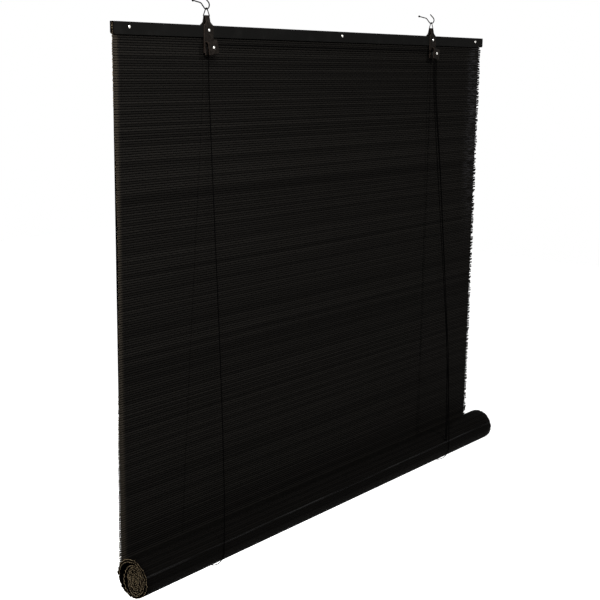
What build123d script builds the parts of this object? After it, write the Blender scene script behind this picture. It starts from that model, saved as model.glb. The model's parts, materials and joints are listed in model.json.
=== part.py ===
from build123d import *
import math
import os

# Bamboo roll-up blind: a reed mat hangs from a folded steel head rail, its lower
# part is wound into a roll, and two cords sling the roll from pulleys in leather
# tabs under the rail. Leather straps hang the rail from wire rings on two hooks.
# Frame: +X along the rail, -Y towards the room, +Z up, millimetres. The origin is
# midway between the two ring tops, on the mat's middle plane.

os.makedirs("parts", exist_ok=True)

# Clearances
seat_gap = 0.05
turn_gap = 0.3
cut_overrun = 2.0

# Head rail, an inverted channel of folded sheet
rail_length = 1200.0
rail_height = 21.0
rail_depth = 9.0
rail_sheet = 0.8
rail_bend_radius = 1.4
rail_corner_radius = 4.0

# Laths that clamp the mat's top edge inside the rail
lath_end_inset = 3.0
lath_foot_inset = 1.0

# Reed mat
mat_overhang = 1.0
stick_pitch = 4.2
stick_thickness = 1.8
web_thickness = 0.7
fringe_gap_height = 1.3
fringe_gap_depth = 18.0
sticks_per_fringe_gap = 6
fringe_depth_shares = (1.0, 0.62, 0.86, 0.5, 0.74)

# Roll, the wound lower part of the mat
roll_overhang = 3.0
roll_radius = 37.7
roll_core_radius = 7.0
roll_turn_pitch = 3.3
roll_drop = 963.0

# Hanging rings of bent wire
ring_wire = 1.8
ring_height = 15.0
ring_base = 17.6
ring_top_radius = 2.2
ring_corner_radius = 1.6

# Hooks of bent wire with a ball end
hook_wire = 2.2
hook_bowl_radius = 7.0
hook_tip_angle = 133.0
hook_arm_angle = 318.0
hook_tip_length = 11.0
hook_rise_length = 9.0
hook_shoulder_radius = 10.0
hook_shoulder_turn = 35.0
hook_arm_length = 17.0
hook_ball_diameter = 4.4

# Leather straps over the rail
strap_spacing = 746.0
leather_thickness = 1.8
strap_width = 25.0
neck_width = 11.0
neck_height = 15.0
shoulder_height = 5.0
shoulder_drop = 1.0
back_leaf_inset = 1.0

# Leather tabs that hold the pulleys
tab_size = 25.0
tab_drop = 38.5
tab_turn_left = -8.0
tab_turn_right = 10.0
strap_end_inset = 2.5

# Pulleys with one groove for each cord
pulley_width = 7.2
pulley_diameter = 14.0
pulley_bore = 3.16
groove_spacing = 3.5
groove_line_radius = 5.5

# Rivets
rivet_shank = 3.0
rivet_head_diameter = 5.5
rivet_head_height = 1.5
rivet_tail_diameter = 4.6
rivet_tail_height = 0.8
rivet_drop = 8.5
rail_rivet_end_inset = 35.0
middle_rivet_shift = 29.0

# Cords
cord_diameter = 2.0
left_sling_shift = 36.0
right_sling_shift = 23.0
back_knot_diameter = 4.8
back_knot_drop = 16.0
pull_knot_diameter = 6.4
pull_knot_angle = 150.0
pull_knot_x = 386.3

# Free ends of the two lift cords below the right pulley, loosely turned round the
# right front cord down to the knot on the roll
right_pull_route = [
    (378.5, -13.85, -68.8),
    (379.2, -20.4, -165.0),
    (381.2, -33.2, -330.0),
    (383.0, -44.4, -480.0),
    (384.8, -55.0, -630.0),
    (383.9, -63.6, -770.0),
    (381.6, -69.2, -875.0),
    (385.0, -72.9, -968.4),
]
left_pull_route = [
    (378.5, -10.35, -68.8),
    (381.4, -18.6, -165.0),
    (384.6, -30.4, -330.0),
    (386.6, -41.4, -480.0),
    (388.6, -53.2, -630.0),
    (388.2, -64.8, -770.0),
    (386.2, -71.6, -875.0),
    (387.6, -73.3, -968.4),
]

# Levels and planes worked out from the sizes above
mat_width = rail_length + 2 * mat_overhang
roll_width = mat_width + 2 * roll_overhang
bar_z = -ring_height
rail_top = bar_z - neck_height
rail_bottom = rail_top - rail_height
rivet_z = rail_top - rivet_drop
tab_z = rail_top - tab_drop
roll_z = rail_top - roll_drop
roll_y = stick_thickness / 2 - roll_radius
mat_top = rail_top - rail_sheet - turn_gap
mat_bottom = roll_z + turn_gap
stick_count = int((mat_top - mat_bottom) / stick_pitch)

sides = {"left": -1, "right": 1}
strap_x = {name: side * strap_spacing / 2 for name, side in sides.items()}
tab_turn = {"left": tab_turn_left, "right": tab_turn_right}
sling_x = {
    "left": strap_x["left"] - left_sling_shift,
    "right": strap_x["right"] + right_sling_shift,
}
rail_rivet_x = [
    rail_rivet_end_inset - rail_length / 2,
    middle_rivet_shift,
    rail_length / 2 - rail_rivet_end_inset,
]
clamp_rivets = [(x, rivet_z) for x in (*rail_rivet_x, *strap_x.values())]

leaf_inside = rail_depth / 2 + seat_gap
leaf_outside = leaf_inside + leather_thickness
tab_inside = pulley_width + 2 * turn_gap
tab_depth = tab_inside + 2 * leather_thickness
tab_y = -leaf_outside - seat_gap - tab_depth / 2
groove_y = {"left": tab_y + groove_spacing / 2, "right": tab_y - groove_spacing / 2}
cord_radius = cord_diameter / 2
sling_radius = roll_radius + turn_gap + cord_radius


def rivet(front_y, back_y):
    """A rivet along Y: domed head in front of front_y, rolled tail behind back_y."""
    with BuildPart() as piece:
        with BuildSketch(Plane.XY):
            with BuildLine():
                dome = TangentArc(
                    (0, front_y - rivet_head_height),
                    (rivet_head_diameter / 2, front_y),
                    tangent=(1, 0),
                )
                Polyline(
                    dome @ 1,
                    (rivet_shank / 2, front_y),
                    (rivet_shank / 2, back_y),
                    (rivet_tail_diameter / 2, back_y),
                    (rivet_tail_diameter / 2, back_y + rivet_tail_height),
                    (0, back_y + rivet_tail_height),
                    dome @ 0,
                )
            make_face()
        revolve(axis=Axis.Y)
    return piece.part


def cord(*edges):
    """A round cord along the given edges, which follow each other."""
    path = Wire(edges)
    with BuildPart() as piece:
        with BuildSketch(Plane(origin=path @ 0, z_dir=path % 0)):
            Circle(cord_radius)
        sweep(path=path)
    return piece.part


def bend_radii(route):
    """The largest radius at each corner that the two runs beside it allow."""
    radii = []
    bend_run_share = 0.45
    for before, corner, after in zip(route, route[1:], route[2:]):
        run_in = Vector(corner) - Vector(before)
        run_out = Vector(after) - Vector(corner)
        half_turn = math.radians(run_in.get_angle(run_out)) / 2
        run = min(run_in.length, run_out.length)
        radii.append(bend_run_share * run / math.tan(half_turn))
    return radii


def sling_touch(top_y, top_z, side):
    """Angle on the sling's circle where a cord from the given point meets it."""
    across = top_y - roll_y
    rise = top_z - roll_z
    reach = math.hypot(across, rise)
    return math.atan2(rise, across) + side * math.acos(sling_radius / reach)


def sling_point(x, angle):
    """A point of the sling's middle line, in the plane at x."""
    return Vector(
        x,
        roll_y + sling_radius * math.cos(angle),
        roll_z + sling_radius * math.sin(angle),
    )


# Head rail
with BuildPart() as head_rail:
    with BuildSketch(Plane.YZ):
        with BuildLine():
            fold = FilletPolyline(
                (rail_depth / 2, rail_bottom),
                (rail_depth / 2, rail_top),
                (-rail_depth / 2, rail_top),
                (-rail_depth / 2, rail_bottom),
                radius=rail_bend_radius,
            )
            offset(fold, amount=rail_sheet, side=Side.LEFT)
        make_face()
    extrude(amount=rail_length / 2, both=True)
    fillet(head_rail.edges().filter_by(Axis.Y).group_by(Axis.Z)[0], rail_corner_radius)
    with BuildSketch(Plane.XZ):
        with Locations(*clamp_rivets):
            Circle(rivet_shank / 2 + seat_gap)
    extrude(amount=rail_depth, both=True, mode=Mode.SUBTRACT)
head_rail.part.label = "head_rail"
export_step(head_rail.part, "parts/head_rail.step")

# Laths on both sides of the mat inside the rail
lath_depth = rail_depth / 2 - rail_sheet - stick_thickness / 2 - 2 * seat_gap
lath_y = stick_thickness / 2 + seat_gap + lath_depth / 2
lath_top = rail_top - rail_bend_radius - turn_gap
lath_height = lath_top - rail_bottom - lath_foot_inset
for lath_name, lath_side in (("front_lath", -1), ("back_lath", 1)):
    with BuildPart() as lath:
        with Locations((0, lath_side * lath_y, lath_top)):
            Box(
                rail_length - 2 * lath_end_inset,
                lath_depth,
                lath_height,
                align=(Align.CENTER, Align.CENTER, Align.MAX),
            )
        with BuildSketch(Plane.XZ):
            with Locations(*clamp_rivets):
                Circle(rivet_shank / 2 + seat_gap)
        extrude(amount=rail_depth, both=True, mode=Mode.SUBTRACT)
    lath.part.label = lath_name
    export_step(lath.part, f"parts/{lath_name}.step")

# Rail rivets, one group of three
with BuildPart() as rail_rivets:
    with Locations(*[(x, 0, rivet_z) for x in rail_rivet_x]):
        add(rivet(-rail_depth / 2 - seat_gap, rail_depth / 2 + seat_gap))
rail_rivets.part.label = "rail_rivets"
export_step(rail_rivets.part, "parts/rail_rivets.step")

# Reed mat: every stick is a ridge in front and behind, joined by a thin web
front_line = []
for stick in range(stick_count):
    foot = mat_bottom + stick * stick_pitch
    front_line.append((-web_thickness / 2, foot))
    front_line.append((-stick_thickness / 2, foot + stick_pitch / 2))
front_line.append((-web_thickness / 2, mat_bottom + stick_count * stick_pitch))
back_line = [(-y, z) for y, z in reversed(front_line)]

# Gaps between the free stick ends along both side edges, of uneven depth
fringe_gaps = []
for name, side in sides.items():
    for count, stick in enumerate(range(sticks_per_fringe_gap, stick_count, sticks_per_fringe_gap)):
        level = mat_bottom + stick * stick_pitch
        if level > rail_bottom - stick_pitch:
            continue
        share = fringe_depth_shares[(count + side) % len(fringe_depth_shares)]
        fringe_gaps.append((side * mat_width / 2, level, 2 * share * fringe_gap_depth))

with BuildPart() as reed_mat:
    with BuildSketch(Plane.YZ):
        with BuildLine():
            Polyline(*front_line, *back_line, close=True)
        make_face()
    extrude(amount=mat_width / 2, both=True)
    with BuildSketch(Plane.XZ):
        for gap_x, gap_z, gap_width in fringe_gaps:
            with Locations((gap_x, gap_z)):
                Rectangle(gap_width, fringe_gap_height)
        with Locations(*clamp_rivets):
            Circle(rivet_shank / 2 + seat_gap)
    extrude(amount=stick_thickness, both=True, mode=Mode.SUBTRACT)
reed_mat.part.label = "reed_mat"
export_step(reed_mat.part, "parts/reed_mat.step")

# Roll: the mat wound from its outer end at the back, down, under and over, one
# flat facet for each stick, to the loose core
outer_line = []
inner_line = []
wound_angle = 0.0
wound_radius = roll_radius - stick_thickness / 2
while wound_radius > roll_core_radius:
    across = math.cos(wound_angle)
    down = math.sin(wound_angle)
    for line, radius in (
        (outer_line, wound_radius + stick_thickness / 2),
        (inner_line, wound_radius - stick_thickness / 2),
    ):
        line.append((roll_y + radius * across, roll_z - radius * down))
    wound_angle += stick_pitch / wound_radius
    wound_radius = roll_radius - stick_thickness / 2 - roll_turn_pitch * wound_angle / (2 * math.pi)

with BuildPart() as mat_roll:
    with BuildSketch(Plane.YZ):
        with BuildLine():
            Polyline(*outer_line, *reversed(inner_line), close=True)
        make_face()
    extrude(amount=roll_width / 2, both=True)
mat_roll.part.label = "mat_roll"
export_step(mat_roll.part, "parts/mat_roll.step")

# Ring sides run from the base corners and touch the round top
ring_side_height = ring_height - ring_top_radius
ring_reach = math.hypot(ring_base / 2, ring_side_height)
ring_half_angle = math.atan2(ring_base / 2, ring_side_height) - math.asin(
    ring_top_radius / ring_reach
)
ring_peak = ring_top_radius / math.sin(ring_half_angle) - ring_top_radius

# Strap sides run from the rail's top corners and touch the loop round the ring
loop_radius = ring_wire / 2 + turn_gap
strap_reach = math.hypot(leaf_inside, neck_height)
strap_half_angle = math.atan2(leaf_inside, neck_height) - math.asin(loop_radius / strap_reach)
strap_peak = rail_top + leaf_inside / math.tan(strap_half_angle)
neck_top = bar_z + loop_radius + leather_thickness

# Hook line levels: the bowl carries the ring's round top
bowl_z = hook_bowl_radius - (ring_wire + hook_wire) / 2 - seat_gap

for name, x in strap_x.items():
    side = sides[name]

    # Hook in the plane across the rail
    with BuildPart() as hook:
        with BuildLine(Plane.YZ.offset(x)) as hook_line:
            bowl = CenterArc(
                (0, bowl_z), hook_bowl_radius, hook_tip_angle, hook_arm_angle - hook_tip_angle
            )
            Line(bowl @ 0 - hook_tip_length * (bowl % 0), bowl @ 0)
            rise = Line(bowl @ 1, bowl @ 1 + hook_rise_length * (bowl % 1))
            shoulder = JernArc(rise @ 1, rise % 1, hook_shoulder_radius, -hook_shoulder_turn)
            arm = Line(shoulder @ 1, shoulder @ 1 + hook_arm_length * (shoulder % 1))
        with BuildSketch(Plane(origin=arm @ 1, z_dir=arm % 1)):
            Circle(hook_wire / 2)
        sweep(path=hook_line.wires()[0])
        with Locations(arm @ 1):
            Sphere(hook_ball_diameter / 2)
    hook.part.label = f"{name}_hook"
    export_step(hook.part, f"parts/{name}_hook.step")

    # Triangular ring, its top in the hook's bowl and its base bar in the strap
    with BuildPart() as ring:
        with BuildLine(Plane.XZ.move(Location((x, 0, 0)))) as ring_line:
            FilletPolyline(
                (-ring_base / 2, bar_z),
                (ring_base / 2, bar_z),
                (0, ring_peak),
                close=True,
                radius=[ring_corner_radius, ring_corner_radius, ring_top_radius],
            )
        with BuildSketch(Plane(origin=ring_line.wires()[0] @ 0, z_dir=ring_line.wires()[0] % 0)):
            Circle(ring_wire / 2)
        sweep(path=ring_line.wires()[0])
    ring.part.label = f"{name}_ring"
    export_step(ring.part, f"parts/{name}_ring.step")

    # Strap: one strip over the ring's bar, with a leaf before and behind the rail
    with BuildPart() as strap:
        with BuildSketch(Plane.YZ.offset(x)):
            with BuildLine():
                strip = FilletPolyline(
                    (leaf_inside, rail_bottom + back_leaf_inset),
                    (leaf_inside, rail_top),
                    (0, strap_peak),
                    (-leaf_inside, rail_top),
                    (-leaf_inside, tab_z - tab_size / 2 + strap_end_inset),
                    radius=loop_radius,
                )
                offset(strip, amount=leather_thickness, side=Side.RIGHT)
            make_face()
        extrude(amount=strap_width / 2, both=True)
        with BuildSketch(Plane.XZ.move(Location((x, 0, 0)))) as shoulders:
            with BuildLine():
                Polyline(
                    (neck_width / 2, neck_top + cut_overrun),
                    (neck_width / 2, rail_top + shoulder_height),
                    (strap_width / 2, rail_top - shoulder_drop),
                    (strap_width / 2 + cut_overrun, rail_top - shoulder_drop),
                    (strap_width / 2 + cut_overrun, neck_top + cut_overrun),
                    close=True,
                )
            make_face()
            mirror(about=Plane.YZ)
        extrude(amount=leaf_outside + cut_overrun, both=True, mode=Mode.SUBTRACT)
        with BuildSketch(Plane.XZ):
            with Locations((x, rivet_z), (x, tab_z)):
                Circle(rivet_shank / 2 + seat_gap)
        extrude(amount=leaf_outside + cut_overrun, both=True, mode=Mode.SUBTRACT)
    strap.part.label = f"{name}_strap"
    export_step(strap.part, f"parts/{name}_strap.step")

    # Tab: a short strip folded over the pulley, turned a little on its rivet
    with BuildPart() as tab:
        with BuildSketch(Plane.YZ):
            with Locations((0, -tab_size / 2)):
                Rectangle(tab_depth, tab_size - tab_depth / 2, align=(Align.CENTER, Align.MIN))
            with Locations((0, tab_size / 2 - tab_depth / 2)):
                Circle(tab_depth / 2)
                Circle(tab_inside / 2, mode=Mode.SUBTRACT)
            with Locations((0, -tab_size / 2)):
                Rectangle(
                    tab_inside,
                    tab_size - tab_depth / 2,
                    align=(Align.CENTER, Align.MIN),
                    mode=Mode.SUBTRACT,
                )
        extrude(amount=tab_size / 2, both=True)
        with BuildSketch(Plane.XZ):
            Circle(rivet_shank / 2 + seat_gap)
        extrude(amount=tab_depth, both=True, mode=Mode.SUBTRACT)
    with BuildPart() as placed_tab:
        with Locations(Location((x, tab_y, tab_z), (0, tab_turn[name], 0))):
            add(tab.part)
    placed_tab.part.label = f"{name}_tab"
    export_step(placed_tab.part, f"parts/{name}_tab.step")

    # Pulley with two round grooves, turning on the tab's rivet
    with BuildPart() as pulley:
        with BuildSketch(Plane.XY):
            with Locations((pulley_bore / 2, 0)):
                Rectangle(
                    (pulley_diameter - pulley_bore) / 2,
                    pulley_width,
                    align=(Align.MIN, Align.CENTER),
                )
            for groove in (-groove_spacing / 2, groove_spacing / 2):
                with Locations((groove_line_radius, groove)):
                    Circle(cord_radius + turn_gap, mode=Mode.SUBTRACT)
                    Rectangle(
                        pulley_diameter / 2,
                        cord_diameter + 2 * turn_gap,
                        align=(Align.MIN, Align.CENTER),
                        mode=Mode.SUBTRACT,
                    )
        revolve(axis=Axis.Y)
    with BuildPart() as placed_pulley:
        with Locations((x, tab_y, tab_z)):
            add(pulley.part)
    placed_pulley.part.label = f"{name}_pulley"
    export_step(placed_pulley.part, f"parts/{name}_pulley.step")

    # Front cord: taut from the pulley's outer or left groove side to the roll
    cord_top = Vector(x - groove_line_radius, groove_y[name], tab_z)
    front_angle = sling_touch(cord_top.Y, cord_top.Z, 1)
    front_touch = sling_point(sling_x[name], front_angle)
    front_trim = (cord_top - front_touch).normalized() * turn_gap
    front_cord = cord(Edge.make_line(cord_top - front_trim, front_touch + front_trim))
    front_cord.label = f"{name}_front_cord"
    export_step(front_cord, f"parts/{name}_front_cord.step")

    # Back cord: from the roll up behind the mat to a knot on the strap's back leaf
    knot_radius = back_knot_diameter / 2
    knot_place = Vector(x, leaf_outside + seat_gap + knot_radius, rail_top - back_knot_drop)
    back_top = knot_place - Vector(0, 0, knot_radius + seat_gap)
    back_angle = sling_touch(back_top.Y, back_top.Z, -1)
    back_touch = sling_point(sling_x[name], back_angle)
    back_trim = (back_top - back_touch).normalized() * turn_gap
    back_cord = cord(Edge.make_line(back_top, back_touch + back_trim))
    back_cord.label = f"{name}_back_cord"
    export_step(back_cord, f"parts/{name}_back_cord.step")

    with BuildPart() as back_knot:
        with Locations(knot_place):
            Sphere(knot_radius)
    back_knot.part.label = f"{name}_back_knot"
    export_step(back_knot.part, f"parts/{name}_back_knot.step")

    # Sling: the cord's arc under the roll, between the front and back cords
    sling_start = math.degrees(front_angle)
    sling_sweep = math.degrees(back_angle) % 360 - sling_start
    sling = cord(
        Edge.make_circle(
            sling_radius,
            Plane(origin=(sling_x[name], roll_y, roll_z), x_dir=(0, 1, 0), z_dir=(1, 0, 0)),
            sling_start,
            sling_start + sling_sweep,
        )
    )
    sling.label = f"{name}_sling"
    export_step(sling, f"parts/{name}_sling.step")

# Strap rivets through both leaves and the rail, and tab rivets that carry the pulleys
with BuildPart() as strap_rivets:
    with Locations(*[(x, 0, rivet_z) for x in strap_x.values()]):
        add(rivet(-leaf_outside - seat_gap, leaf_outside + seat_gap))
strap_rivets.part.label = "strap_rivets"
export_step(strap_rivets.part, "parts/strap_rivets.step")

with BuildPart() as tab_rivets:
    with Locations(*[(x, 0, tab_z) for x in strap_x.values()]):
        add(rivet(tab_y - tab_depth / 2 - seat_gap, -leaf_inside + seat_gap))
tab_rivets.part.label = "tab_rivets"
export_step(tab_rivets.part, "parts/tab_rivets.step")

# Cross cord: the left cord over the left pulley, along under the rail and over the
# right pulley
cross_y = groove_y["left"]
cross_z = tab_z + groove_line_radius
quarter = groove_line_radius * math.sqrt(0.5)
cross_cord = cord(
    Edge.make_three_point_arc(
        (strap_x["left"] - groove_line_radius, cross_y, tab_z),
        (strap_x["left"] - quarter, cross_y, tab_z + quarter),
        (strap_x["left"], cross_y, cross_z),
    ),
    Edge.make_line((strap_x["left"], cross_y, cross_z), (strap_x["right"], cross_y, cross_z)),
    Edge.make_three_point_arc(
        (strap_x["right"], cross_y, cross_z),
        (strap_x["right"] + quarter, cross_y, tab_z + quarter),
        (strap_x["right"] + groove_line_radius, cross_y, tab_z),
    ),
)
cross_cord.label = "cross_cord"
export_step(cross_cord, "parts/cross_cord.step")

# The right cord's half turn over its own pulley
right_cord_bend = cord(
    Edge.make_three_point_arc(
        (strap_x["right"] - groove_line_radius, groove_y["right"], tab_z),
        (strap_x["right"], groove_y["right"], cross_z),
        (strap_x["right"] + groove_line_radius, groove_y["right"], tab_z),
    )
)
right_cord_bend.label = "right_cord_bend"
export_step(right_cord_bend, "parts/right_cord_bend.step")

# Free ends of both cords below the right pulley
for name, route in (("left", left_pull_route), ("right", right_pull_route)):
    radii = bend_radii(route)
    print(name, "pull cord radii", [round(radius) for radius in radii])
    pull_cord = cord(*FilletPolyline(*route, radius=radii).edges())
    pull_cord.label = f"{name}_pull_cord"
    export_step(pull_cord, f"parts/{name}_pull_cord.step")

# Knot of the free ends, resting on the roll beside the right front cord
knot_reach = roll_radius + turn_gap + pull_knot_diameter / 2
with BuildPart() as pull_knot:
    with Locations(
        (
            pull_knot_x,
            roll_y + knot_reach * math.cos(math.radians(pull_knot_angle)),
            roll_z + knot_reach * math.sin(math.radians(pull_knot_angle)),
        )
    ):
        Sphere(pull_knot_diameter / 2)
pull_knot.part.label = "pull_knot"
export_step(pull_knot.part, "parts/pull_knot.step")
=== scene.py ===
"""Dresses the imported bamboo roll-up blind: reeds, yarns, leather, rivets, cords and the studio."""

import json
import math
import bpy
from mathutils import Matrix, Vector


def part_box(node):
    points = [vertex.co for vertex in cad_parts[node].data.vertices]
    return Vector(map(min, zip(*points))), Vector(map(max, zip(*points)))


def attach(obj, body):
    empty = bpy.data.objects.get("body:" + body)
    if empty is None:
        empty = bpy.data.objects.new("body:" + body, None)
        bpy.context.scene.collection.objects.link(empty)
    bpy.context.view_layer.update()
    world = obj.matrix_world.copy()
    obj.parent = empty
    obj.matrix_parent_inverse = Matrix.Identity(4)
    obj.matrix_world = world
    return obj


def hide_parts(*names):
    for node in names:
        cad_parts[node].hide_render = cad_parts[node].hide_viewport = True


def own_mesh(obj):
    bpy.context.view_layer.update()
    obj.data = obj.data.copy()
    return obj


bl_info = {
    "name": "Bamboo Roll-up Blind",
    "version": (1, 0, 0),
    "blender": (4, 5, 0),
    "location": "View3D > Sidebar > Blind",
    "description": "Builds the reeds, leather, cords and studio of a bamboo roll-up blind",
    "category": "Add Mesh",
}

import bmesh
import bpy
import numpy as np
from mathutils import Matrix, Vector

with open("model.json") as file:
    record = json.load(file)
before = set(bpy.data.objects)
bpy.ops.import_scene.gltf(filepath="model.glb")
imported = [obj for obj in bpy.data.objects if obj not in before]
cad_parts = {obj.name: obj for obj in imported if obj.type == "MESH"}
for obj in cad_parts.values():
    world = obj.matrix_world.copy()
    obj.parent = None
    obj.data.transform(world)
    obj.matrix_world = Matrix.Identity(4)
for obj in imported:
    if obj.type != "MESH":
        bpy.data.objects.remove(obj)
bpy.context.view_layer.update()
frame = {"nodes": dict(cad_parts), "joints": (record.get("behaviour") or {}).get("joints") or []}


def joint_place(name):
    """Where a joint of the part lies."""
    return next(joint for joint in frame["joints"] if joint["name"] == name)["pos_m"]


LIFT_TRAVEL = 0.8
WHITE = (1, 1, 1, 1)

# Steps of the lines that leather and cords are swept along, in metres
STRAP_STEP = 0.0011
TAB_STEP = 0.0012
CORD_STEP = 0.0011
KNOT_STEP = 0.0007

# Places on the CAD part, in metres
RAIL_FOOT, RAIL_TOP = (corner.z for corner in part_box("head_rail"))
MAT_LOW, MAT_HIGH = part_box("reed_mat")
ROLL_LOW, ROLL_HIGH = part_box("mat_roll")
ROLL_AXIS = Vector(joint_place("roll_turn"))
PULLEY_Z = joint_place("left_pulley_turn")[2]
PULLEY_LINE = 0.0055
GROOVE_Y = {"left": -0.01035, "right": -0.01385}
STRAP_X = {"left": -0.373, "right": 0.373}
SLING_X = {"left": -0.409, "right": 0.396}
SLING_RADIUS = 0.039
BACK_CORD_Y = 0.0088
RIVET_X = {
    "rail_rivets": (-0.565, 0.029, 0.565),
    "strap_rivets": tuple(STRAP_X.values()),
    "tab_rivets": tuple(STRAP_X.values()),
}
RIVET_HEAD_RISE = 0.0015
RIVET_TAIL_RISE = 0.0008
RING_BAR_RADIUS = 0.0009

# Control points of the free cord ends, from the right pulley to the knot on the roll
PULL_ROUTES = {
    "right": (
        (0.3785, -0.01385, -0.0688),
        (0.3785, -0.01385, -0.105),
        (0.3786, -0.0150, -0.150),
        (0.3812, -0.0333, -0.330),
        (0.3830, -0.0460, -0.480),
        (0.3848, -0.0590, -0.630),
        (0.3839, -0.0690, -0.770),
        (0.3816, -0.0738, -0.875),
        (0.3850, -0.0729, -0.9684),
    ),
    "left": (
        (0.3785, -0.01035, -0.0688),
        (0.3785, -0.01035, -0.105),
        (0.3788, -0.0117, -0.150),
        (0.3846, -0.0304, -0.330),
        (0.3866, -0.0428, -0.480),
        (0.3890, -0.0562, -0.630),
        (0.3886, -0.0702, -0.770),
        (0.3866, -0.0755, -0.875),
        (0.3876, -0.0733, -0.9684),
    ),
}

# Random numbers that shape a reed's ends, and the lowest value of each
END_DRAWS = {"bend_left": -1.0, "bend_right": -1.0, "short_left": 0.0, "short_right": 0.0}


# Building blocks


class Value:
    """A node's output that takes part in sums, so that a tree reads like a formula."""

    def __init__(self, tree, socket):
        self.tree = tree
        self.socket = socket

    def __add__(self, other):
        return calc("ADD", self, other)

    def __sub__(self, other):
        return calc("SUBTRACT", self, other)

    def __rsub__(self, other):
        return calc("SUBTRACT", other, self)

    def __mul__(self, other):
        return calc("MULTIPLY", self, other)

    def __truediv__(self, other):
        return calc("DIVIDE", self, other)

    def __mod__(self, other):
        return calc("MODULO", self, other)

    def __neg__(self):
        return calc("MULTIPLY", self, -1.0)

    def __abs__(self):
        return calc("ABSOLUTE", self)


def put(tree, socket, value):
    """Links a value into a socket, or sets the socket."""
    if isinstance(value, Value):
        tree.links.new(value.socket, socket)
    else:
        socket.default_value = value


def node(tree, kind, sockets=None, **settings):
    """A new node with its settings and its input sockets filled."""
    made = tree.nodes.new(kind)
    for name, value in settings.items():
        setattr(made, name, value)
    for key, value in (sockets or {}).items():
        put(tree, made.inputs[key], value)
    return made


def out(tree, kind, sockets=None, key=0, **settings):
    """One output of a new node."""
    return Value(tree, node(tree, kind, sockets, **settings).outputs[key])


def calc(operation, *terms):
    """The result of a Math node."""
    tree = next(term.tree for term in terms if isinstance(term, Value))
    return out(tree, "ShaderNodeMath", dict(enumerate(terms)), operation=operation)


def ramp(value, start, end, low=0.0, high=1.0):
    """A smooth step from low to high while value goes from start to end."""
    sockets = {0: value, 1: start, 2: end, 3: low, 4: high}
    return out(value.tree, "ShaderNodeMapRange", sockets, interpolation_type="SMOOTHSTEP")


def xyz(tree, x=0.0, y=0.0, z=0.0):
    """A vector from three numbers or values."""
    return out(tree, "ShaderNodeCombineXYZ", {0: x, 1: y, 2: z})


def parts(vector):
    """The three numbers of a vector."""
    made = node(vector.tree, "ShaderNodeSeparateXYZ", {0: vector})
    return [Value(vector.tree, socket) for socket in made.outputs]


def length_of(vector):
    """The length of a vector."""
    return out(vector.tree, "ShaderNodeVectorMath", {0: vector}, "Value", operation="LENGTH")


def noise(place, scale, detail, roughness=0.5):
    """Cloudy noise at a place."""
    sockets = {"Vector": place, "Scale": scale, "Detail": detail, "Roughness": roughness}
    return out(place.tree, "ShaderNodeTexNoise", sockets)


def add_sockets(tree, inputs, outputs):
    """Gives a tree its outputs by kind and its inputs by default; returns the inputs by name.

    An input without a default is given by its kind.
    """
    for label, kind in outputs.items():
        tree.interface.new_socket(label, in_out="OUTPUT", socket_type="NodeSocket" + kind)
    for label, default in inputs.items():
        if isinstance(default, str):
            kind = default
        elif isinstance(default, (int, float)):
            kind = type(default).__name__.title()
        else:
            kind = "Color" if len(default) == 4 else "Vector"
        made = tree.interface.new_socket(label, in_out="INPUT", socket_type="NodeSocket" + kind)
        if not isinstance(default, str):
            made.default_value = default
    sockets = tree.nodes.new("NodeGroupInput").outputs
    return {label: Value(tree, sockets[label]) for label in inputs}


def add_object(name, data):
    """A new object in the scene, at the origin."""
    piece = bpy.data.objects.new(name, data)
    bpy.context.scene.collection.objects.link(piece)
    return piece


def add_piece(mesh, material):
    """An object with the mesh's name, in one material."""
    mesh.materials.append(bpy.data.materials[material])
    return add_object(mesh.name, mesh)


def new_mesh(name, vertices, faces):
    """A mesh from its points and faces."""
    mesh = bpy.data.meshes.new(name)
    mesh.from_pydata(vertices, [], faces)
    return mesh


def band(sides, rows):
    """The faces between the rows of a closed outline, then its two caps."""
    faces = []
    for low in range(0, (rows - 1) * sides, sides):
        high = low + sides
        for side in range(sides):
            after = (side + 1) % sides
            faces.append((low + side, low + after, high + after, high + side))
    last = (rows - 1) * sides
    return [*faces, tuple(reversed(range(sides))), tuple(range(last, last + sides))]


def smooth(mesh, but_last=0):
    """Shades the faces of a mesh smooth, but for a number of last ones."""
    count = len(mesh.polygons)
    mesh.polygons.foreach_set("use_smooth", [face < count - but_last for face in range(count)])


def face_outwards(mesh):
    """Points every face of a closed mesh outwards."""
    work = bmesh.new()
    work.from_mesh(mesh)
    bmesh.ops.recalc_face_normals(work, faces=work.faces)
    work.to_mesh(mesh)
    work.free()
    mesh.update()


def run_lengths(line):
    """How far along a line of points each of them lies."""
    return np.concatenate([[0], np.cumsum(np.linalg.norm(np.diff(line, axis=0), axis=1))])


def even_line(points, step):
    """Points at an even step along a line of corners and arcs."""
    points = np.array(points, float)
    places = run_lengths(points)
    wanted = np.linspace(0, places[-1], max(2, round(places[-1] / step) + 1))
    return np.stack([np.interp(wanted, places, column) for column in points.T], 1)


def directions(line):
    """The direction of a line at each of its points."""
    tangents = np.gradient(line, axis=0)
    return tangents / np.linalg.norm(tangents, axis=1)[:, None]


def soften(line, rounds):
    """Eases the corners of a line, its ends kept."""
    for _ in range(rounds):
        line[1:-1] = (line[:-2] + 2 * line[1:-1] + line[2:]) / 4
    return line


def arc(radius, centre_z, degrees):
    """Points (y, z) on an arc about (0, centre_z)."""
    angles = [math.radians(degree) for degree in degrees]
    return [(radius * math.cos(a), centre_z + radius * math.sin(a)) for a in angles]


def settle(piece, body, slot, *nodes):
    """Rides a piece on its body and hides the CAD nodes it stands for; slot is not used."""
    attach(piece, body)
    if nodes:
        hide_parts(*nodes)
    return piece


def shorten(piece, anchor_z, foot_z):
    """Works out the share of a hanging piece that would stay while the roll rises, and gives the
    piece its own mesh.
    """
    keep = 1 - LIFT_TRAVEL / (anchor_z - foot_z)
    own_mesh(piece)


# Settings


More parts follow.
